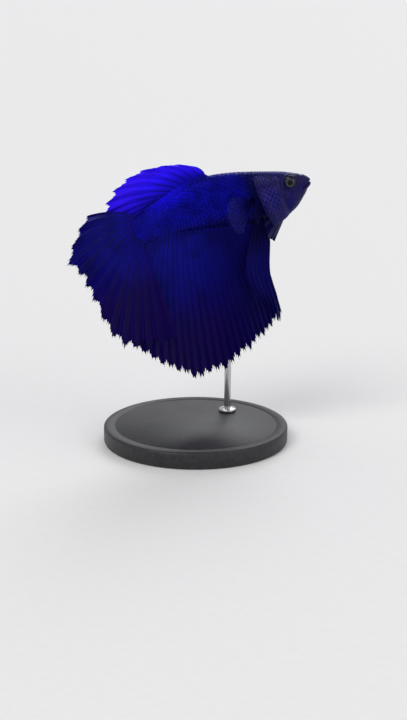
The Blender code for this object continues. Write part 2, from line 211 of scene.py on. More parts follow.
def piece(name, points, faces, told, shade, slot, replaces):
    """A solid that stands for CAD nodes; told is what its vertices tell the materials.

    What they tell as OFBake becomes the map for baking.
    """
    obj = solid(name, points, faces, shade)
    for key, values in told:
        values = np.asarray(values, np.float32)
        if key == "OFBake":
            corners = read(obj.data.loops, "vertex_index", int, 1)
            obj.data.uv_layers.new(name=key).data.foreach_set("uv", values[corners].ravel())
        else:
            made = obj.data.attributes.new(key, "FLOAT_VECTOR", "POINT")
            made.data.foreach_set("vector", values.ravel())
    obj.data.shade_smooth()
    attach(obj, "root")
    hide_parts(*replaces)


def sheet_faces(rows, columns):
    """Faces of a closed sheet: a grid, its back, and the rim between them."""
    count = rows * columns
    at = np.arange(count).reshape(rows, columns)
    front = np.stack((at[:-1, :-1], at[:-1, 1:], at[1:, 1:], at[1:, :-1]), -1).reshape(-1, 4)
    rim = np.concatenate((at[0, ::-1], at[1:, 0], at[-1, 1:], at[-2:0:-1, -1]))
    after = np.roll(rim, -1)
    edge = np.stack((rim, after, after + count, rim + count), 1)
    return np.concatenate((front, front[:, ::-1] + count, edge))


def sheet_sides(grid, half):
    """The two sides of a sheet round a grid of points, or round each of a stack."""
    n = unit(np.cross(np.gradient(grid, axis=-2), np.gradient(grid, axis=-3)))
    n *= np.broadcast_to(half, grid.shape[:-1])[..., None]
    flat = grid.shape[:-3] + (-1, 3)
    return np.concatenate(((grid + n).reshape(flat), (grid - n).reshape(flat)), axis=-2)


def both_sides(grid):
    """What a grid, or a stack of grids, tells, for both sides of its sheets."""
    return np.concatenate((grid, grid), axis=-3).reshape(-1, grid.shape[-1])


def turns(count):
    """Angles of places evenly round a circle."""
    return np.arange(count) * 2 * pi / count


def wrapped_faces(rings, around):
    """Faces of a closed tube of rings of vertices, with a cap on each end."""
    at = np.arange(rings * around).reshape(rings, around)
    after = np.roll(at, -1, axis=1)
    wall = np.stack((at[:-1], after[:-1], after[1:], at[1:]), -1).reshape(-1, 4)
    return [wall, at[:1, ::-1], at[-1:]]


def tube(path, radii, side, sides):
    """A closed tube along a path; side is a direction across it at each point."""
    along = unit(np.gradient(path, axis=0))
    a = unit(side - along * np.sum(side * along, axis=1, keepdims=True))
    b = np.cross(along, a)
    turn = turns(sides)[None, :, None]
    ring = a[:, None] * np.cos(turn) + b[:, None] * np.sin(turn)
    points = path[:, None] + ring * radii[:, None, None]
    return points.reshape(-1, 3), wrapped_faces(len(path), sides)


def turned(profile, around, centre=(0.0, 0.0)):
    """A closed turned shape from (radius, height) points, bottom to top."""
    r, z = np.array(profile).T[:, :, None]
    turn = turns(around)
    points = vectors(centre[0] + r * np.cos(turn), centre[1] + r * np.sin(turn), z)
    return points.reshape(-1, 3), wrapped_faces(len(profile), around)


class Heap:
    """Gathers closed shapes, each with what it tells, into one mesh."""

    def __init__(self):
        self.points, self.faces, self.told, self.count = [], [], {}, 0

    def add(self, points, faces, **told):
        self.points.append(points)
        self.faces += [block + self.count for block in faces]
        for key, values in told.items():
            self.told.setdefault(key, []).append(values)
        self.count += len(points)

    def parts(self):
        """Points, faces and what they tell, as piece() takes them."""
        return (np.concatenate(self.points), self.faces,
                [(key, np.concatenate(values)) for key, values in self.told.items()])


# ---------------- material helpers
class Nodes:
    """Short calls for adding nodes to a tree."""

    def __init__(self, tree):
        self.tree = tree

    def put(self, socket, value):
        if isinstance(value, bpy.types.NodeSocket):
            self.tree.links.new(value, socket)
        else:
            socket.default_value = value

    def node(self, kind, inputs, output=0, **settings):
        """The output of a new node, with what goes into its sockets."""
        made = self.tree.nodes.new("ShaderNode" + kind)
        for key, value in settings.items():
            setattr(made, key, value)
        for key, value in inputs.items():
            self.put(made.inputs[key], value)
        return made.outputs[output]

    def where(self, kind):
        return self.node("TexCoord", {}, kind)

    def part(self, vector, k):
        return self.node("SeparateXYZ", {0: vector}, k)

    def math(self, operation, a, b=0.0, clamp=False):
        return self.node("Math", {0: a, 1: b}, operation=operation, use_clamp=clamp)

    def times(self, a, b):
        return self.math("MULTIPLY", a, b)

    def step(self, value, low, high):
        """0 below low, 1 above high, smooth between; high may be the smaller."""
        return self.node("MapRange", {"Value": value, "From Min": low, "From Max": high},
                         interpolation_type="SMOOTHSTEP")

    def blend(self, share, a, b, way="MIX"):
        a, b = ((*each, 1.0) if isinstance(each, tuple) else each for each in (a, b))
        return self.node("Mix", {"Factor": share, 6: a, 7: b}, 2, data_type="RGBA",
                         blend_type=way)

    def fade(self, colour, other, value, low, high, most=1.0):
        """A colour that turns into most of another as a value goes from low to high."""
        return self.blend(self.times(self.step(value, low, high), most), colour, other)

    def noise(self, vector, scale, detail=3.0):
        """Noise with this many cells to a unit, a number or one for each direction."""
        scales = scale if isinstance(scale, tuple) else (scale,) * 3
        spread = self.node("VectorMath", {0: vector, 1: scales}, operation="MULTIPLY")
        return self.node("TexNoise", {"Vector": spread, "Scale": 1.0, "Detail": detail}, "Fac")


class Shade(Nodes):
    """A Principled material; its sockets are set by name, with _ for a space."""

    def __init__(self, name, **values):
        self.material = bpy.data.materials.new(name)
        self.material.use_nodes = True
        super().__init__(self.material.node_tree)
        self.set(**values)

    def set(self, **values):
        for key, value in values.items():
            self.put(self.tree.nodes["Principled BSDF"].inputs[key.replace("_", " ")], value)

    def told(self, name, k=None):
        """What the mesh tells under a name: the vector, or its value k."""
        vector = self.node("Attribute", {}, "Vector", attribute_name=name)
        return vector if k is None else self.part(vector, k)

    def bump(self, height, depth):
        self.set(Normal=self.node("Bump", {"Strength": 1.0, "Distance": depth, "Height": height}))


# ---------------- colours, markings and painted light
ROYAL = (0.0016, 0.0014, 0.148)
ROYAL_BRIGHT = (0.0022, 0.0026, 0.22)
# A painted sheen on the back below the dorsal fin's root.
DORSAL_PAINTED_SHEEN = (0.006, 0.003, 0.56)
NIGHT = (0.0012, 0.001, 0.04)
SOOT = (0.0012, 0.0012, 0.01)
SLATE = (0.011, 0.0095, 0.085)
SLATE_BROWN = (0.019, 0.0145, 0.075)
# The dorsal fin's edge: violet, brightened to stand for painted light shining through the fin.
VIOLET_AND_PAINTED_BACKLIGHT = (0.04, 0.008, 1.0)

# Where markings, painted sheen and painted shade start and where each is full, by drawn place: s,
# z, or s slanted by z.
PAINTED_SHEEN_BEHIND, PAINTED_SHEEN_BEFORE, PAINTED_SHEEN_ABOVE = (0.6, 0.78), (0.98, 0.86), (0.03, 0.105)
BELLY_PAINTED_SHADE, CROWN_DARK, SHOULDER_DARK_AND_SHADOW = (-0.05, -0.14), (0.06, 0.1), (0.4, 0.31)
HEAD_EDGE, HEAD_SLANT = (0.322, 0.24), 0.22
CLOUDS, FLECKS, PORES = 14.0, 90.0, 120.0  # noise cells along the fish's length


def skin_colour_and_painted_light(shade):
    """Colour of the skin and of the scales over it, from their drawn place, with a painted sheen
    and painted shade in it.
    """
    at = shade.told("drawn")
    s, z = shade.part(at, 0), shade.part(at, 2)
    cloud, flecks = shade.noise(at, CLOUDS), shade.noise(at, FLECKS)
    ragged = shade.math("ADD", s, shade.times(shade.math("SUBTRACT", cloud, 0.5), 0.03))
    slanted = shade.math("SUBTRACT", s, shade.times(z, HEAD_SLANT))
    # Painted sheen: brighter blue on the back below the dorsal fin's root.
    painted_sheen = shade.times(shade.step(s, *PAINTED_SHEEN_BEHIND), shade.step(s, *PAINTED_SHEEN_BEFORE))
    painted_sheen = shade.times(painted_sheen, shade.step(z, *PAINTED_SHEEN_ABOVE))
    body = shade.fade(ROYAL, ROYAL_BRIGHT, cloud, 0.35, 0.7)
    body = shade.blend(painted_sheen, body, DORSAL_PAINTED_SHEEN)
    # Painted shade: the body darker toward the belly.
    body = shade.fade(body, NIGHT, z, *BELLY_PAINTED_SHADE, 0.6)
    # Behind the gill cover the body turns near black: partly its own dark shoulder, partly a
    # painted shadow of the flared cover.
    body = shade.fade(body, SOOT, ragged, *SHOULDER_DARK_AND_SHADOW, 0.88)
    head = shade.fade(SLATE, SLATE_BROWN, cloud, 0.38, 0.62)
    head = shade.fade(head, NIGHT, flecks, 0.5, 0.72, 0.45)
    head = shade.fade(head, NIGHT, z, *CROWN_DARK, 0.5)
    return shade.fade(body, head, slanted, *HEAD_EDGE)


def skin_shade():
    shade = Shade("skin", Roughness=0.4, Specular_IOR_Level=0.45,
                  Specular_Tint=(0.14, 0.12, 0.55, 1.0))
    shade.set(Base_Color=shade.blend(0.35, skin_colour_and_painted_light(shade), SOOT))
    at = shade.told("drawn")
    pores = shade.node("TexVoronoi", {"Vector": at, "Scale": PORES}, "Distance")
    shade.bump(shade.math("ADD", pores, shade.noise(at, FLECKS)), 0.00003)
    return shade


def scale_shade():
    """Scales in the skin's colours: each a little brighter at random, partly its own tint and
    partly a painted iridescent sheen, grooved, with a dark rim.
    """
    shade = Shade("scales", Roughness=0.33, Specular_IOR_Level=0.45, Metallic=0.4,
                  Specular_Tint=(0.08, 0.08, 0.9, 1.0))
    along, across, tint = (shade.told("scale", k) for k in range(3))
    # Each scale brighter by a random share: partly its own tint, partly a painted iridescent
    # sheen.
    tint_and_sheen = shade.blend(shade.times(tint, 0.55), skin_colour_and_painted_light(shade), (1.6, 1.7, 1.9), "MULTIPLY")
    outward = shade.math("MAXIMUM", along, shade.math("ABSOLUTE", across))
    shade.set(Base_Color=shade.fade(tint_and_sheen, SOOT, outward, 0.66, 1.0, 0.62))
    grooves = shade.node("TexWave", {"Vector": shade.told("scale"), "Scale": 2.4}, "Fac",
                         wave_type="RINGS", rings_direction="SPHERICAL")
    shade.bump(grooves, 0.000005)
    return shade


# ---------------- the skin
SHEATH_RISE, SHEATH_DEPTH, SHEATH_HALF = 0.02, 0.034, (0.0125, 0.0038)
DORSAL_SHEATH = (BACK, 0.536, 0.95, 1.0)
ANAL_SHEATH = (BELLY, 0.34, 1.02, -1.0)
# Pads of muscle at the roots of the left pectoral and pelvic fin: centre and radii.
PADS = (((0.343, through(HALF_WIDTH, 0.338) - 0.006, -0.038), (0.02, 0.016, 0.03)),
        ((0.326, 0.024, through(BELLY, 0.326) + 0.008), (0.024, 0.014, 0.018)))
VOXEL, QUICK_VOXEL = 0.0023, 0.004


def cover_station(u, v):
    """Place along the fish and angle round it of a place on the gill cover."""
    rear = mix(*COVER_REAR, u) + COVER_REAR_BULGE * np.sin(pi * u)
    return mix(COVER_FRONT, rear, v), np.radians(mix(*COVER_TURN, u))


def cover_stands_off(u, v):
    """How far the cover's middle is off the cheek, below 0 where it has sunk into it."""
    widest = mix(*COVER_FLARE, np.sin(0.5 * pi * np.clip(COVER_FLARE_RISE * u, 0.0, 1.0)))
    sunk = 0.022 * ease(v, 0.25, -0.05) + 0.03 * ease(u, 0.28, 0.0)
    return COVER_OFF_CHEEK + widest * np.maximum(v, 0.0) ** 1.1 - sunk


def cover_half(v):
    """Half the gill cover's thickness, thinner toward its rear edge."""
    return mix(0.3, 0.2, ease(v)) * MM


def cover_sags(u, v):
    return COVER_SAG * np.maximum(v, 0.0) * u


def gill_cover(side, u, v):
    """Its middle: u runs down from its top edge, v back from its hinge."""
    s, angle = cover_station(u, v)
    y, z = section(np.minimum(s, HEAD_END), angle, inset=0.0)
    return vectors(s, side * (y + cover_stands_off(u, v)), z - cover_sags(u, v))


def ellipsoid(centre, radii):
    """A closed ball, stretched, in drawn places."""
    rise = np.linspace(0.02, pi - 0.02, 14)
    points, faces = turned(np.stack((np.sin(rise), np.cos(rise)), 1), 24)
    return centre + points * radii, faces


def fin_sheath(knots, start, end, down, t, v):
    """Height and half thickness, at t along it and v up, of the fold a fin stands in."""
    s = mix(start, end, t)
    rise = SHEATH_RISE * np.sin(pi * np.clip(t, 0.0, 1.0)) ** 0.25
    z = through(knots, s) + down * np.where(v > 0, rise * v, SHEATH_DEPTH * v)
    return s, z, mix(*SHEATH_HALF, ease(v, -0.4, 1.0))


def flesh():
    """All the closed shapes that the skin is drawn round, in drawn places."""
    heap = Heap()
    s = np.concatenate((np.linspace(0.0, 0.02, 9)[:-1], np.linspace(0.02, 1.061, 204)))
    angle = turns(128)
    heap.add(body_point(s[:, None], angle).reshape(-1, 3), wrapped_faces(len(s), len(angle)))
    for side, _ in SIDES:
        u, v = np.meshgrid(np.linspace(0.0, 1.0, 60), np.linspace(-0.1, 1.0, 44))
        heap.add(sheet_sides(gill_cover(side, u, v), cover_half(v)), [sheet_faces(*v.shape)])
        for centre, radii in PADS:
            heap.add(*ellipsoid(np.array(centre) * (1, side, 1), radii))
    t, v = np.meshgrid(np.linspace(0.0, 1.0, 90), np.linspace(-1.0, 1.0, 16))
    for sheath in (DORSAL_SHEATH, ANAL_SHEATH):
        s, z, half = fin_sheath(*sheath, t, v)
        heap.add(sheet_sides(vectors(s, 0.0, z), half), [sheet_faces(*v.shape)])
    return heap


def near_line(s, z, corners):
    """Distance in the side view from a line through the corners."""
    best = np.full(s.shape, 1.0)
    for (s0, z0), (s1, z1) in zip(corners, corners[1:]):
        ds, dz = s1 - s0, z1 - z0
        t = np.clip(((s - s0) * ds + (z - z0) * dz) / (ds * ds + dz * dz), 0.0, 1.0)
        best = np.minimum(best, np.hypot(s - s0 - t * ds, z - z0 - t * dz))
    return best


PREOPERCLE = (
    (0.128, 0.052), (0.142, 0.030), (0.147, 0.000), (0.143, -0.036), (0.128, -0.068),
    (0.104, -0.090), (0.078, -0.094))
CHEEK_FOLD = (MOUTH_CORNER, (0.056, -0.054), (0.062, -0.072))
NOSTRILS = ((0.03, 0.021, 0.005), (0.058, 0.034, 0.0042))
HEAD_PORES = (
    (0.062, 0.004), (0.070, -0.020), (0.090, -0.036), (0.114, -0.038), (0.136, -0.022),
    (0.048, 0.024), (0.080, 0.056), (0.108, 0.061), (0.136, 0.052), (0.072, -0.082),
    (0.098, -0.103), (0.124, -0.088), (0.045, -0.060))

# Humps and furrows of the skin: where they are, how wide, and how far out they stand.
LIPS = ((0.0105, 0.0065, 0.0042), (-0.0115, 0.0075, 0.005),
        (0.0235, 0.0035, -0.0016), (-0.0255, 0.0035, -0.0016))
MOUTH_SLIT = (0.0, 0.0026, -0.01)
CHEEK_FURROW = (0.0, 0.0035, -0.003)
EYE_RIM = ((1.02, 0.11, 0.0036), (1.28, 0.12, -0.0024))
EYE_SOCKET_DEPTH = 0.016
PREOPERCLE_EDGE = ((0.004, 0.006, 0.0022), (-0.001, 0.0028, -0.0028))
NOSTRIL_RIM = ((1.3, 0.42, 0.0022), (0.0, 0.62, -0.0052))
PORE = (0.0, 0.0024, -0.0018)
THROAT_HALF, THROAT_DEPTH = 0.012, 0.0035


def humps(distance, *shapes):
    """How far out round humps stand, at a distance; one that stands in is a furrow."""
    return sum(out * np.exp(-((distance - at) / width) ** 2) for at, width, out in shapes)


def above_mouth(s, z):
    """Height above the mouth's line."""
    (s0, z0), (s1, z1) = MOUTH_START, MOUTH_CORNER
    return z - mix(z0, z1, (s - s0) / (s1 - s0))


def features(at):
    """How far out the skin of the head stands at drawn places, in shares."""
    s, y, z = np.moveaxis(at, -1, 0)
    side, mouth = np.abs(y), above_mouth(s, z)
    out = ease(s, 0.05, 0.036) * humps(mouth, *LIPS)
    out += ease(s, 0.048, 0.04) * humps(mouth, MOUTH_SLIT)
    out += humps(near_line(s, z, CHEEK_FOLD), CHEEK_FURROW)
    eye = np.hypot(s - EYE_AT[0], z - EYE_AT[2]) / EYE_RADIUS
    socket = EYE_SOCKET_DEPTH * ease(eye, 0.92, 0.7)
    out += (side > 0.02) * (humps(eye, *EYE_RIM) - socket)
    out += (s < 0.152) * humps(near_line(s, z, PREOPERCLE), *PREOPERCLE_EDGE)
    for s0, z0, radius in NOSTRILS:
        out += (side > 0.008) * humps(np.hypot(s - s0, z - z0) / radius, *NOSTRIL_RIM)
    for s0, z0 in HEAD_PORES:
        out += (side > 0.01) * humps(np.hypot(s - s0, z - z0), PORE)
    throat = np.maximum(0.0, 1.0 - side / THROAT_HALF) * ease(s, 0.03, 0.08)
    out -= THROAT_DEPTH * throat * (z < -0.06) * (s < 0.27)
    return out * ease(s, 0.3, 0.27)


def make_skin():
    """One skin over head, gill covers and body: the flesh as voxels, then its features."""
    points, faces, _ = flesh().parts()
    obj = mesh_object("flesh", points, faces)
    remesh = obj.modifiers.new("Remesh", "REMESH")
    remesh.mode, remesh.voxel_size = "VOXEL", VOXEL
    relax = obj.modifiers.new("Smooth", "SMOOTH")
    relax.factor, relax.iterations = 0.5, 7
    bpy.context.view_layer.update()
    voxels = obj.evaluated_get(bpy.context.evaluated_depsgraph_get()).to_mesh()
    at = read(voxels.vertices, "co", float, 3)
    out = read(voxels.vertex_normals, "vector", float, 3)
    quads = read(voxels.loops, "vertex_index", int, 1).reshape(-1, 4)
    bpy.data.objects.remove(obj, do_unlink=True)
    at += out * features(at)[:, None]
    under = ease(-above_mouth(at[:, 0], at[:, 2]), 0.0, 0.004)
    at[:, 0] -= JAW_JUTS * ease(at[:, 0], 0.06, 0.0) * under
    piece("skin", place(at), [quads], [("drawn", at)], skin_shade(), "skin",
          ["head", "lower_jaw", "gill_cover_right", "gill_cover_left", "trunk", "tail_stalk"])
    return BVHTree.FromPolygons(at.tolist(), quads.tolist())


# ---------------- scales
SCALE_ALONG, SCALE_ACROSS = 7, 9  # vertices of one scale
SCALE_HALF = 0.022 * MILLIMETRE
SCALE_ROOT, SCALE_ROUNDED_FROM = 0.3, 0.45  # shares of its length
SCALE_SEED = 31
GIRTH_STEPS, GIRTH_PER_S, GIRTH_PER_Q = (107, 81), 100.0, 40.0
OVER_MIDLINE = 1.2  # radians on past the midline, for each share of q
ROWS = 11  # scale rows from the belly's midline to the back's


def girth_table():
    """Angle on the left side of the body, by place along it and share of its half girth."""
    angle = np.linspace(-pi / 2, pi / 2, 241)
    rows = []
    for s in np.arange(GIRTH_STEPS[0]) / GIRTH_PER_S:
        ring = body_point(s, angle)
        run = np.concatenate(((0.0,), np.cumsum(np.linalg.norm(np.diff(ring, axis=0), axis=1))))
        rows.append(np.interp(np.linspace(0.0, run[-1], GIRTH_STEPS[1]), run, angle))
    return np.array(rows)


GIRTH = girth_table()


def on_body(s, angle):
    """Drawn place on the body, or on the head with its features."""
    return body_point(s, angle, features(body_point(s, angle)))


def body_side(side):
    """Surface of one flank: p along the spine, q from the belly's midline to the back's."""
    def surface(p, q):
        row = np.clip(p * GIRTH_PER_S, 0.0, GIRTH_STEPS[0] - 1.1)
        column = np.clip((q + 1.0) * GIRTH_PER_Q, 0.0, GIRTH_STEPS[1] - 1.001)
        i, j = row.astype(int), column.astype(int)
        before, behind = (mix(GIRTH[k, j], GIRTH[k, j + 1], column - j) for k in (i, i + 1))
        angle = mix(before, behind, row - i)
        angle = angle + (q - np.clip(q, -1.0, 1.0)) * OVER_MIDLINE
        return on_body(p, angle) * (1, side, 1)
    return surface


def cheek_side(side):
    """Surface of cheek and gill cover: p back from the hinge, q up from the lower edge."""
    def surface(p, q):
        s, angle = cover_station(1.0 - q, p)
        points = on_body(np.minimum(s, HEAD_END), angle)
        stands_off = cover_stands_off(1.0 - q, p) + cover_half(p) + COAT
        points[..., 0] = s
        points[..., 1] += np.maximum(stands_off, 0.0)
        points[..., 2] -= cover_sags(1.0 - q, p)
        return points * (1, side, 1)
    return surface


def laid_on(skin, surface):
    """The same surface, moved onto the skin, and places lifted off it."""
    def moved(p, q, lift):
        points = surface(p, q).reshape(-1, 3)
        lifts = np.broadcast_to(lift, p.shape).ravel()
        for k, (point, up) in enumerate(zip(points.tolist(), lifts.tolist())):
            found, outward, *_ = skin.find_nearest(point)
            points[k] = found + outward * up
        return points.reshape(*p.shape, 3)
    return moved


def sheath_side(side, sheath):
    """Surface of a fin's sheath: p along it, q up it."""
    def surface(p, q, lift):
        s, z, half = fin_sheath(*sheath, np.clip(p, 0.0, 1.0), q)
        return vectors(s, side * (half + lift), z)
    return surface


def scale_plates(random, surface, p, q, length, half, stand, bake):
    """Overlapping scales rooted at (p, q) on a surface, each a thin closed plate.

    Their length and half width are in p and q, their rear edge stands stand mm off, and bake
    gives u and its rise with p, then v and its rise with q, on the map for baking.
    """
    count = len(p)
    tint, tilt = random.uniform(0.0, 1.0, count), random.normal(0.0, 0.1, count)
    size = random.uniform(0.94, 1.05, count)
    p, q, length, half, tint, tilt, size = (
        np.broadcast_to(each, count)[:, None, None]
        for each in (p, q, length, half, tint, tilt, size))
    a = np.linspace(0.0, 1.0, SCALE_ALONG)[:, None]
    b = np.linspace(-1.0, 1.0, SCALE_ACROSS)
    rounded = SCALE_ROUNDED_FROM + (a - SCALE_ROUNDED_FROM) * np.sqrt(1.0 - 0.9 * b * b)
    reach = np.where(a > SCALE_ROUNDED_FROM, rounded, a) - SCALE_ROOT
    width = mix(0.74, 1.0, ease(a * 2.2))
    lift = (mix(-0.05, stand, a ** 0.9) - 0.026 * b * b) * MM
    grid = surface(p + size * length * reach, q + half * (width * b + tilt * a), lift)
    u0, du, v0, dv = bake
    own = vectors(a, 0.5 + 0.5 * b) * 0.003
    faces = sheet_faces(SCALE_ALONG, SCALE_ACROSS)
    after = 2 * SCALE_ALONG * SCALE_ACROSS * np.arange(count)
    return {"points": sheet_sides(place(grid), SCALE_HALF).reshape(-1, 3),
            "faces": [(faces + after[:, None, None]).reshape(-1, 4)],
            "scale": both_sides(vectors(a, b, tint)), "drawn": both_sides(grid),
            "OFBake": both_sides(vectors(u0 + du * p, v0 + dv * q) + own)}


def quincunx(starts, rows):
    """Roots in alternating rows: (p, q) for columns at starts and rows at q."""
    found = [(start, q) for n, start in enumerate(starts)
             for q in (rows if n % 2 else (rows[:-1] + rows[1:]) / 2)]
    return np.array(found).T


def scale_fields(side, skin):
    """Each field of scales on one side: its coat, then what scale_plates() takes."""
    left = side > 0
    body, cheek = laid_on(skin, body_side(side)), laid_on(skin, cheek_side(side))
    body_map = (0.04, 0.86, 0.2625, 0.2225) if left else (0.04, 0.86, 0.7075, -0.2225)
    cover_map = (0.958, 0.034, 0.05 if left else 0.55, 0.4)

    starts, pitch, s = [], [], 0.272
    while s < 1.035:
        starts.append(s)
        pitch.append(mix(0.0232, 0.015, ease(s, 0.55, 1.0)))
        s += pitch[-1]
    p, q = quincunx(starts, np.linspace(-1.0, 1.0, ROWS + 1))
    yield "body", body, p, q, 2.05 * np.interp(p, starts, pitch), 1.16 / ROWS, 0.07, body_map

    p, q = quincunx(np.arange(0.112, 0.275, 0.014), np.linspace(0.44, 1.0, 6))
    crown = q > np.interp(p, (0.112, 0.15, 0.2), (0.86, 0.6, 0.5))
    yield "face", body, p[crown], q[crown], 0.029, 0.058, 0.05, body_map

    for sheath, v in ((DORSAL_SHEATH, 0.962), (ANAL_SHEATH, 0.006)):
        p, q = quincunx(np.arange(0.02, 0.95, 0.036), np.linspace(-0.35, 0.8, 4))
        yield ("body", sheath_side(side, sheath), p, q, 0.07, 0.26, 0.03,
               (0.05, 0.85, v + (0.012 if left else 0.0), 0.006))

    p, q = quincunx(np.arange(0.14, 0.86, 0.102), np.linspace(0.02, 0.98, 11))
    yield "face", cheek, p, q, 0.215, 0.054, 0.05, cover_map

    p, q = quincunx(np.arange(-0.4, 0.13, 0.066), np.linspace(0.0, 0.94, 20))
    at = cheek(p, q, 0.0)
    clear_of_eye = np.hypot(at[:, 0] - EYE_AT[0], at[:, 2] - EYE_AT[2]) > 1.36 * EYE_RADIUS
    bare = clear_of_eye & (p > np.interp(q, (0.0, 0.35), (-0.22, -0.42)))
    yield "face", cheek, p[bare], q[bare], 0.135, 0.03, 0.034, cover_map


def make_scales(skin):
    shade = scale_shade()
    for side, name in SIDES:
        coats = {"body": Heap(), "face": Heap()}
        for n, (coat, *field) in enumerate(scale_fields(side, skin)):
            random = np.random.default_rng(SCALE_SEED + 7 * n + side)
            coats[coat].add(**scale_plates(random, *field))
        piece("body_scales_" + name, *coats["body"].parts(), shade, "skin",
              ["trunk", "tail_stalk"])
        piece("face_scales_" + name, *coats["face"].parts(), shade, "face",
              ["head", "gill_cover_" + name])


# ---------------- fins
# How each kind is built: rays, the tips of one, v where it starts, columns of membrane
# between two rays and rows out, half its thickness at root and edge, radius and taper of a
# ray, folds, depth of the notches between rays. Thicknesses, radii and folds are in mm.
BUILD = ("rays", "tips", "start", "columns", "rows", "half", "ray", "taper", "folds", "notch",
         "slot")
BUILDS = {
    "dorsal_fin": (12, 4, -0.1, 24, 48, (0.13, 0.04), 0.25, 0.78, 0.35, 0.085, "fin"),
    "caudal_fin": (14, 8, -0.05, 32, 56, (0.13, 0.04), 0.25, 0.78, 0.35, 0.055, "fin"),
    "anal_fin": (26, 4, -0.03, 16, 62, (0.13, 0.04), 0.22, 0.78, 0.25, 0.035, "fin"),
    "pelvic_fin": (6, 2, -0.05, 16, 60, (0.14, 0.05), 0.26, 0.78, 0.25, 0.04, "fin"),
    "pectoral_fin": (12, 2, -0.16, 12, 36, (0.09, 0.03), 0.09, 0.7, 0.06, 0.02, "clear_fin"),
    "beard": (13, 1, -0.4, 14, 40, (0.14, 0.08), 0.21, 0.55, 0.3, 0.04, "beard"),
}
FORKS = (0.3, 0.52, 0.72)  # v at which a ray forks
RAY_STEPS, RAY_SIDES = (18, 10), 6  # steps before the first fork and after it
RAY_PAST_EDGE, FORK_THINS = 0.012, 0.86


class Fin:
    """A fin or gill membrane: branching rays that carry a thin skin between them."""

    def __init__(self, kind, node, shape):
        self.node, self.shape = node, shape
        vars(self).update(zip(BUILD, BUILDS[kind]))
        self.gaps = self.rays - 1
        random = np.random.default_rng(len(node) * 7 + self.rays)
        self.uneven = random.uniform(-0.02, 0.02, self.rays)
        self.frayed = random.uniform(0.0, 2 * pi, 2)
        self.ruffle = random.uniform(0.0, 2 * pi, 3)

    def edge(self, u):
        """How far out the skin reaches at u, as a share of the fin's length there."""
        between = np.sin(pi * self.gaps * u) ** 2
        teeth = np.cos(pi * self.tips * self.gaps * u) ** 2
        own = np.interp(u, np.linspace(0, 1, self.rays), self.uneven)
        worn = sum(np.sin(2 * pi * 1.7 * self.rays * (k + 1) * u + phase) ** 2
                   for k, phase in enumerate(self.frayed))
        return 1.0 + own - self.notch * between - 0.02 * teeth - 0.01 * worn

    def drawn(self, u, v):
        """Drawn place at u across the fin and v out from its root."""
        at, far = self.shape(u, v), np.clip(v, 0.0, 1.1)
        sway = np.sin(2 * pi * self.gaps * u) * far ** 1.3
        sway = sway + 0.4 * np.sin(pi * self.gaps * self.tips * u) * far ** 3
        for k, phase in enumerate(self.ruffle):
            wave = np.sin(2 * pi * (self.rays * 0.3 + 3.0 * k) * u + phase)
            sway = sway + 9 / (self.rays * (k + 1)) * far ** 4 * wave
        at[..., 1] += self.folds * MM * sway
        return at

    def runs(self):
        """Runs of each branching ray: start and end v, u at start and end, level."""
        for k in range(self.rays):
            levels = 0 if k in (0, self.gaps) else int(np.log2(self.tips))
            ends = (self.start, *FORKS[:levels], 1.0)
            for level in range(levels + 1):
                count = 2 ** level
                for j in range(count):
                    parent = (j // 2 + 0.5) / max(count // 2, 1) - 0.5
                    own = (j + 0.5) / count - 0.5
                    yield (*ends[level:level + 2], (k + parent) / self.gaps,
                           (k + own) / self.gaps, level)

    def make_membrane(self, shade):
        u, v = np.meshgrid(np.linspace(0, 1, self.gaps * self.columns + 1),
                           np.linspace(self.start, 1, self.rows))
        reach = v * np.where(v > 0, self.edge(u), 1.0)
        drawn = self.drawn(u, reach)
        half = mix(*self.half, np.clip(v, 0, 1) ** 0.6) * MILLIMETRE
        told = [("drawn", both_sides(drawn)), ("fin", both_sides(vectors(u, v, reach)))]
        piece(self.node + "_membrane", sheet_sides(place(drawn), half),
              [sheet_faces(*v.shape)], told, shade, self.slot, [self.node])

    def make_rays(self, shade):
        heap = Heap()
        for start, end, u0, u1, level in self.runs():
            t = np.linspace(0, 1, RAY_STEPS[min(level, 1)])
            u, v = mix(u0, u1, np.sin(t * pi / 2)), mix(start, end, t)
            reach = v * (self.edge(np.array(u1)) + RAY_PAST_EDGE)
            drawn = self.drawn(u, reach)
            path = place(drawn)
            across = place(self.drawn(u + 0.004, reach)) - path
            thick = (1.0 - self.taper * np.clip(v, 0, 1) ** 0.8) * FORK_THINS ** level
            points, faces = tube(path, self.ray * MILLIMETRE * thick,
                                 np.cross(across, np.gradient(path, axis=0)), RAY_SIDES)
            at = np.repeat(np.arange(len(v)), RAY_SIDES)
            heap.add(points, faces, drawn=drawn[at], fin=vectors(u, v, reach)[at])
        piece(self.node + "_rays", *heap.parts(), shade, self.slot, [self.node])


def root_along(knots, ends, clear):
    """Root of a fin along the back's or the belly's line."""
    def root(u):
        s = mix(*ends, u)
        return s, through(knots, s) + clear
    return root


def caudal_root(u):
    return 1.0 + GAP + 0 * u, mix(0.076, -0.078, u)


def fan(root, angles, bunched, curls, lengths, sway, waves, phase, lean, lean_power):
    """Shape of a midplane fin, given from first ray to last, angles and curls in degrees.

    v below 0 runs on along the ray into the body.
    """
    def shape(u, v):
        within, out = np.clip(u, 0.0, 1.0), np.maximum(v, 0.0)
        s0, z0 = root(u)
        angle = np.radians(mix(*angles, within ** bunched) + 0.5 * mix(*curls, u) * v)
        reach = through(lengths, u) * v
        swings = sway * np.sin(2 * pi * (waves * u + phase)) * out ** 1.4
        leans = lean * within ** lean_power * out ** 0.7
        return vectors(s0 + reach * np.cos(angle), swings + leans, z0 + reach * np.sin(angle))
    return shape


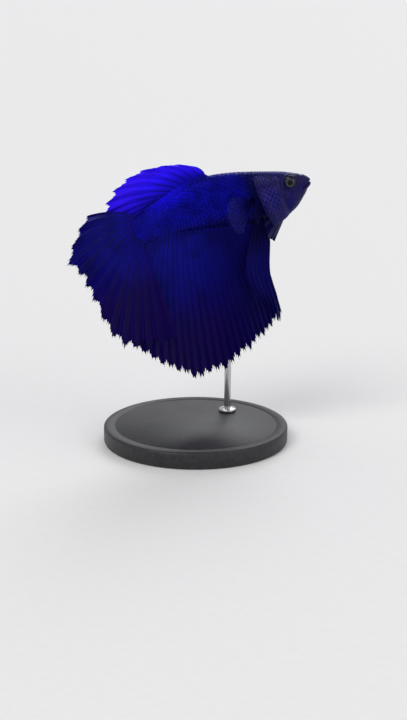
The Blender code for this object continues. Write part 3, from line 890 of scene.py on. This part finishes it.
def pelvic_shape(side):
    """A long narrow fin that hangs from the throat, swept back and splayed."""
    root, lengths, narrow, widens, tapers = 0.309, (0.545, 0.49), 0.04, 0.1, 0.2
    bow, sweep, forward, splay, sway = 0.052, 0.058, 0.01, (0.024, 0.109), 0.008
    root_z = through(BELLY, root) - 2 * GAP

    def shape(u, v):
        out = np.maximum(v, 0.0)
        bulge = np.sin(pi * np.minimum(1.0, 0.94 * out + 0.03)) ** 0.6
        width = narrow + widens * bulge * (1.0 - tapers * out)
        swept = bow * np.sin(pi * np.minimum(out, 1.0)) ** 2 + sweep * out * out - forward * out
        splayed = mix(*splay, out) + sway * np.sin(2 * pi * (u + v)) * out
        return vectors(root + swept + width * (u - 0.3), side * splayed,
                       root_z - mix(*lengths, u) * v)
    return shape


def pectoral_shape(side):
    """A round fin behind the gill cover, held out from the flank."""
    root, levels, spread, outward = (0.338, 0.346), (-0.018, -0.058), (34.0, -46.0), radians(34.0)
    longest, rounded, sag = 0.19, 0.05, 0.03
    root_y = through(HALF_WIDTH, root[0]) + 3 * GAP

    def shape(u, v):
        angle = np.radians(mix(*spread, u))
        length = (longest - rounded * (2 * u - 1) ** 2) * v
        reach = length * np.cos(angle)
        return vectors(mix(*root, u) + reach * cos(outward),
                       side * (root_y + reach * sin(outward)),
                       mix(*levels, u) + length * np.sin(angle) - sag * v)
    return shape


def beard_shape(u, v):
    """Gill membrane: u runs from the right side under the throat to the left."""
    root, root_wide, root_deep, centre = (0.236, 0.192), 0.088, 0.16, -0.03
    turn = np.radians(mix(-98.0, 98.0, u))
    low, out = np.maximum(np.cos(turn), 0.0), np.maximum(v, 0.0)
    length = mix(0.08, 0.125, low) * out
    ruffle = 0.01 * np.sin(9.0 * turn) * out
    lobe = 0.034 * np.sin(2 * turn) ** 2 * low * out
    away = length * mix(0.6, 0.85, low) + ruffle
    sunk = ease(v, 0.0, -0.4)
    s = mix(*root, low) + length * mix(0.8, 0.6, low) + lobe - 0.045 * sunk
    y = np.sin(turn) * (root_wide + 0.55 * away - 0.036 * sunk)
    z = centre - np.cos(turn) * (root_deep + away - 0.05 * sunk)
    return vectors(s, y, z)


dorsal_shape = fan(
    root_along(BACK, (0.552, 0.905), 2 * GAP), angles=(84.0, -20.0), bunched=0.9,
    curls=(-50.0, -6.0), sway=0.016, waves=1.6, phase=0.1, lean=0.085, lean_power=1.0,
    lengths=((0.0, 0.06), (0.16, 0.17), (0.45, 0.382), (0.7, 0.41), (0.88, 0.425), (1.0, 0.395)))
caudal_shape = fan(
    caudal_root, angles=(36.0, -84.0), bunched=1.0, curls=(-30.0, -6.0), sway=0.022,
    waves=2.2, phase=0.35, lean=-0.08, lean_power=2.0,
    lengths=((0.0, 0.305), (0.1, 0.412), (0.22, 0.522), (0.36, 0.48), (0.48, 0.51),
             (0.6, 0.612), (0.72, 0.622), (0.86, 0.6), (1.0, 0.58)))
# The root ends at 0.998, and at 0.985 in the CAD, so that no hole is left by the tail fin.
anal_shape = fan(
    root_along(BELLY, (0.358, 0.998), -2 * GAP), angles=(-96.0, -50.0), bunched=2.0,
    curls=(4.0, -8.0), sway=0.024, waves=2.0, phase=0.15, lean=0.07, lean_power=2.0,
    lengths=((0.0, 0.535), (0.09, 0.592), (0.35, 0.732), (0.5, 0.826), (0.62, 0.836),
             (0.75, 0.746), (0.87, 0.646), (1.0, 0.51)))

# Colours at root, middle and edge, and how much clouds and streaks dim them. Then where
# painted shade darkens it across, from one u to another, by a share, and a tinge: a colour,
# and the z where it starts and is full.
FIN_COLOURS = {
    # Dorsal: bright toward its edge, partly its own violet blue, partly painted light shining
    # through it; its rear rays get painted shade.
    "dorsal_fin": ((0.006, 0.003, 0.42), (0.024, 0.006, 1.0), VIOLET_AND_PAINTED_BACKLIGHT, 0.22, (0.45, 0.9, 0.55)),
    # Caudal: painted shade darkens its lower half.
    "caudal_fin": ((0.003, 0.002, 0.2), (0.005, 0.005, 0.2), (0.002, 0.001, 0.12), 0.5,
                   (0.2, 0.5, 0.35), ((0.008, 0.0005, 0.026), -0.12, -0.33)),
    # Anal: a painted sheen brightens its root; painted shade darkens its front.
    "anal_fin": ((0.004, 0.005, 0.2), (0.002, 0.002, 0.12), (0.002, 0.001, 0.05), 0.5,
                 (0.68, 0.22, 0.75), ((0.007, 0.001, 0.04), -0.38, -0.72)),
    # Pelvic: painted shade makes it near black at its root, under the throat.
    "pelvic_fin": (SOOT, (0.003, 0.003, 0.085), (0.004, 0.004, 0.07), 0.5),
    "pectoral_fin": (NIGHT, (0.01, 0.01, 0.13), (0.014, 0.014, 0.16), 0.5),
    "beard": (SOOT, (0.002, 0.001, 0.03), (0.002, 0.001, 0.02), 0.5),
}
CLEAR = {"pectoral_fin": 0.3}  # alpha of the kinds that light passes through


def ray_streaks(shade):
    """Noise drawn out along the rays."""
    return shade.noise(shade.told("fin"), (150.0, 2.5, 1.0), 2.0)


def fin_colour(shade, root, middle, edge, dimmed, dark=None, tinge=None):
    v, clouds = shade.told("fin", 1), shade.noise(shade.told("drawn"), 7.0)
    colour = shade.fade(root, middle, v, 0.05, 0.55)
    colour = shade.fade(colour, edge, v, 0.4, 0.9)
    if tinge:
        colour = shade.fade(colour, tinge[0], shade.told("drawn", 2), *tinge[1:], 0.85)
    # Painted shade across the fin, from one u to another.
    if dark:
        colour = shade.fade(colour, NIGHT, shade.told("fin", 0), *dark)
    colour = shade.fade(colour, NIGHT, clouds, 0.42, 0.66, dimmed)
    return shade.fade(colour, NIGHT, ray_streaks(shade), 0.45, 0.75, 0.9 * dimmed)


def membrane_shade(kind):
    shade = Shade(kind, Roughness=0.46, Specular_IOR_Level=0.4, Metallic=0.35,
                  Specular_Tint=(0.08, 0.06, 0.8, 1.0), Alpha=CLEAR.get(kind, 1.0))
    shade.set(Base_Color=fin_colour(shade, *FIN_COLOURS[kind]))
    shade.bump(ray_streaks(shade), 0.00004)
    return shade


def ray_shade(kind):
    shade = Shade(kind + "_rays", Roughness=0.42, Specular_IOR_Level=0.45, Metallic=0.2,
                  Specular_Tint=(0.12, 0.1, 0.9, 1.0))
    joints = shade.math("SINE", shade.times(shade.told("fin", 1), 420.0))
    colour = shade.blend(0.55, fin_colour(shade, *FIN_COLOURS[kind]), SOOT)
    shade.set(Base_Color=shade.fade(colour, ROYAL, joints, 0.6, 0.95, 0.4))
    shade.bump(joints, 0.00001)
    return shade


def make_fins():
    """The fins of each kind share two materials: one of the membrane, one of the rays."""
    fins = [("dorsal_fin", "dorsal_fin", dorsal_shape),
            ("caudal_fin", "caudal_fin", caudal_shape),
            ("anal_fin", "anal_fin", anal_shape)]
    for side, name in SIDES:
        fins += [("pelvic_fin", "pelvic_fin_" + name, pelvic_shape(side)),
                 ("pectoral_fin", "pectoral_fin_" + name, pectoral_shape(side))]
    fins.append(("beard", "throat_membrane", beard_shape))
    shades = {kind: (membrane_shade(kind), ray_shade(kind)) for kind in BUILDS}
    for kind, node, shape in fins:
        fin = Fin(kind, node, shape)
        membrane, rays = shades[kind]
        fin.make_membrane(membrane)
        fin.make_rays(rays)


# ---------------- eyes
EYE_RINGS = np.concatenate((np.linspace(0.01, 1.2, 44), np.linspace(1.25, pi - 0.01, 20)))
CORNEA, LIMBUS = (0.0, 0.34, 0.035), (0.72, 0.06, -0.016)  # as humps() takes them
# Bands of the eye, by share of its radius: where each starts and where it is full.
PUPIL, DARK_RIM = (0.415, 0.395), (0.66, 0.84)
GOLD_INSIDE, GOLD_OUTSIDE = (0.4, 0.43), (0.53, 0.45)
BLACK, RIM_BLUE = (0.0005, 0.0005, 0.0008), (0.003, 0.003, 0.01)
DEEP_BLUE, STEEL_BLUE = (0.003, 0.004, 0.02), (0.016, 0.04, 0.12)
UMBER, GOLD = (0.012, 0.008, 0.006), (0.15, 0.115, 0.06)


def eye_shade():
    """Black pupil, thin gold ring, blue iris with fine threads and brown clouds, dark rim."""
    shade = Shade("eye", Roughness=0.35, Specular_IOR_Level=0.04, Coat_Weight=0.5,
                  Coat_Roughness=0.02, Coat_IOR=1.34)
    out = shade.told("eye", 0)
    threads = shade.noise(shade.told("eye"), (5.0, 40.0, 1.0))
    clouds = shade.noise(shade.told("drawn"), 60.0)
    ring = shade.times(shade.step(out, *GOLD_INSIDE), shade.step(out, *GOLD_OUTSIDE))
    broken = shade.math("ADD", shade.step(threads, 0.3, 0.6), 0.25)
    ring = shade.math("MULTIPLY", ring, broken, clamp=True)
    iris = shade.fade(DEEP_BLUE, STEEL_BLUE, threads, 0.36, 0.64)
    iris = shade.fade(iris, UMBER, clouds, 0.46, 0.62, 0.75)
    iris = shade.blend(shade.times(ring, 0.8), iris, GOLD)
    iris = shade.fade(iris, RIM_BLUE, out, *DARK_RIM)
    shade.set(Base_Color=shade.fade(iris, BLACK, out, *PUPIL), Metallic=shade.times(ring, 0.5))
    shade.bump(threads, 0.00001)
    return shade


def make_eyes():
    """Flattened globes with a raised clear centre over a shallow ring of iris."""
    around = 96
    out = np.sin(EYE_RINGS)
    depth = np.cos(EYE_RINGS) + humps(out, CORNEA, LIMBUS) * (EYE_RINGS < pi / 2)
    globe, faces = turned(np.stack((out, depth), 1), around)
    globe = globe[:, (0, 2, 1)] * (EYE_RADIUS, EYE_HALF_DEPTH, EYE_RADIUS)
    bands = vectors(out[:, None], turns(around) / (2 * pi), 0.0).reshape(-1, 3)
    shade = eye_shade()
    for side, name in SIDES:
        at = (EYE_AT + globe) * (1, side, 1)
        piece("eye_ball_" + name, place(at), faces, [("drawn", at), ("eye", bands)], shade,
              "eye", ["eye_" + name])


# ---------------- stand
BASE_RADIUS, BASE_HEIGHT, BASE_BEVEL = 0.027, 0.005, 0.0007
BASE_FOOT = ((-0.0006, 0.0), (-0.0002, 0.0003), (0.0, 0.0008))  # in from its radius, up
GROOVE_IN, GROOVE = 0.003, 0.0006
AXIS = 0.0004  # radius of the pin hole in the middle of a turned disc
ROD_RADIUS, ROD_BITES = 0.001, 0.0012
ROD_FOOT = np.array((0.0095, 0.012))
ROD_TOUCHES_AT, ROD_TOUCHES_ANGLE = 0.44, radians(-52.0)
ROD_LEAVES, ROD_TURNS_BELOW = 0.0055, 0.009  # pulls of its curve, out of the flank and down
COLLAR_RADIUS, COLLAR_BEVEL = 0.0026, 0.0004


def rounded_corner(r, z, radius):
    """The outer top corner of a turned profile, round (r, z)."""
    return [(r + radius * cos(a), z + radius * sin(a)) for a in np.linspace(0.0, pi / 2, 6)]


def rod_path():
    """From inside the flank, out of the left side and down to the base."""
    at, along, around = place(body_point(
        ROD_TOUCHES_AT + np.array((0.0, 0.01, 0.0)),
        ROD_TOUCHES_ANGLE + np.array((0.0, 0.0, A_LITTLE))))
    outward = unit(np.cross(along - at, around - at))
    outward *= -np.sign(outward[2])
    pull = np.array((*ROD_FOOT, at[2] - ROD_TURNS_BELOW))
    foot = np.array((*ROD_FOOT, BASE_HEIGHT - 0.0005))
    t = np.linspace(0, 1, 60)[:, None]
    curve = (at * (1 - t) ** 3 + (at + outward * ROD_LEAVES) * 3 * t * (1 - t) ** 2
             + pull * 3 * t * t * (1 - t) + foot * t ** 3)
    return np.vstack((at - outward * ROD_BITES, curve))


def make_stand():
    r, top = BASE_RADIUS, BASE_HEIGHT
    groove = r - GROOVE_IN
    profile = [(AXIS, 0.0), *((r + inward, z) for inward, z in BASE_FOOT),
               *rounded_corner(r - BASE_BEVEL, top - BASE_BEVEL, BASE_BEVEL),
               (groove, top), (groove - GROOVE / 2, top - GROOVE / 2), (groove - GROOVE, top),
               (AXIS, top)]
    shade = Shade("stand_base", Specular_IOR_Level=0.4)
    grain, smears = (shade.noise(shade.where("Object"), scale) for scale in (900.0, 60.0))
    black = shade.fade((0.012, 0.012, 0.014), (0.022, 0.022, 0.026), grain, 0.35, 0.7)
    shade.set(Base_Color=black, Roughness=shade.math("ADD", shade.times(smears, 0.14), 0.42))
    shade.bump(grain, 0.00001)
    piece("stand_disc", *turned(profile, 160), [], shade, "stand_base", ["stand_base"])

    shade = Shade("stand_rod", Metallic=1.0)
    brushed = shade.noise(shade.where("Object"), (16000.0, 16000.0, 500.0), 2.0)
    steel = shade.fade((0.46, 0.46, 0.47), (0.54, 0.54, 0.55), brushed, 0.3, 0.7)
    shade.set(Base_Color=steel, Roughness=shade.math("ADD", shade.times(brushed, 0.14), 0.12))
    shade.bump(brushed, 0.0000015)
    path = rod_path()
    collar = [(ROD_RADIUS, top - 0.0002), (COLLAR_RADIUS, top - 0.0002),
              *rounded_corner(COLLAR_RADIUS - COLLAR_BEVEL, top + 0.0006, COLLAR_BEVEL),
              (0.0016, top + 0.0011), (ROD_RADIUS, top + 0.0013)]
    heap = Heap()
    heap.add(*tube(path, np.full(len(path), ROD_RADIUS), np.array((0.0, 1.0, 0.3)), 24))
    heap.add(*turned(collar, 48, ROD_FOOT))
    piece("stand_stem", *heap.parts(), shade, "stand_rod", ["stand_rod"])


make_scales(make_skin())
make_fins()
make_eyes()
make_stand()


# ---------------- stage
FLOOR_RADIUS, FLOOR_THICK = 12.0, 0.01
PALE_LOW, PALE_HIGH, PALE_CLIMB = (0.816, 0.814, 0.824), (0.5, 0.512, 0.537), 0.55
LOOKS_DOWN, CAMERA_AWAY, VIEW_WIDTH = radians(15.8), 0.45, 0.1164
CAMERA_AIM = Vector((0.0023, -0.0076, 0.0265))
SENSOR = 36.0


def stage():
    """A wide flat pale floor, as pale as the world is where the two meet."""
    profile = [(0.001, 0.0), (0.6, 0.0), (3.0, 0.0), (FLOOR_RADIUS, 0.0),
               (FLOOR_RADIUS, -FLOOR_THICK), (0.001, -FLOOR_THICK)]
    shade = Shade("floor", Roughness=0.8, Specular_IOR_Level=0.2)
    grain = shade.noise(shade.where("Object"), 400.0)
    shade.set(Base_Color=shade.blend(grain, (0.76, 0.75, 0.74), (0.8, 0.79, 0.78)))
    solid("floor", *turned(profile, 64), shade)


def light(name, comes_from, strength, width, colour):
    """A broad soft light from far off, so that the whole floor is as bright."""
    data = bpy.data.lights.new(name, "SUN")
    data.energy, data.angle, data.color = strength, radians(width), colour
    toward = -Vector(comes_from)
    add_object(name, data).rotation_euler = toward.to_track_quat("-Z", "Y").to_euler()


def world_light():
    """Pale all round, paler toward the horizon, where it meets the floor."""
    world = bpy.data.worlds.new("studio")
    bpy.context.scene.world = world
    world.use_nodes = True
    sky = Nodes(world.node_tree)
    upward = sky.part(sky.where("Generated"), 2)
    pale = sky.blend(sky.step(upward, 0.0, PALE_CLIMB), PALE_LOW, PALE_HIGH)
    sky.put(sky.tree.nodes["Background"].inputs["Color"], pale)


def camera():
    """Looks down a little on the fish's right side, as the photographer did."""
    data = bpy.data.cameras.new("camera")
    data.sensor_fit = "HORIZONTAL"
    data.sensor_width = SENSOR
    data.lens = SENSOR * CAMERA_AWAY / VIEW_WIDTH
    obj = add_object("camera", data)
    obj.location = CAMERA_AIM + Vector((0.0, -cos(LOOKS_DOWN), sin(LOOKS_DOWN))) * CAMERA_AWAY
    obj.rotation_euler = (pi / 2 - LOOKS_DOWN, 0.0, 0.0)
    bpy.context.scene.camera = obj


stage()
light("key", (-0.35, -0.45, 0.6), 1.2, 32.0, (1.0, 0.98, 0.96))
light("fill", (0.6, -0.4, 0.3), 0.45, 36.0, (0.95, 0.97, 1.0))
light("back", (0.15, 0.55, 0.5), 0.95, 36.0, (0.95, 0.96, 1.0))
world_light()
camera()
bpy.context.scene.view_settings.view_transform = "Standard"
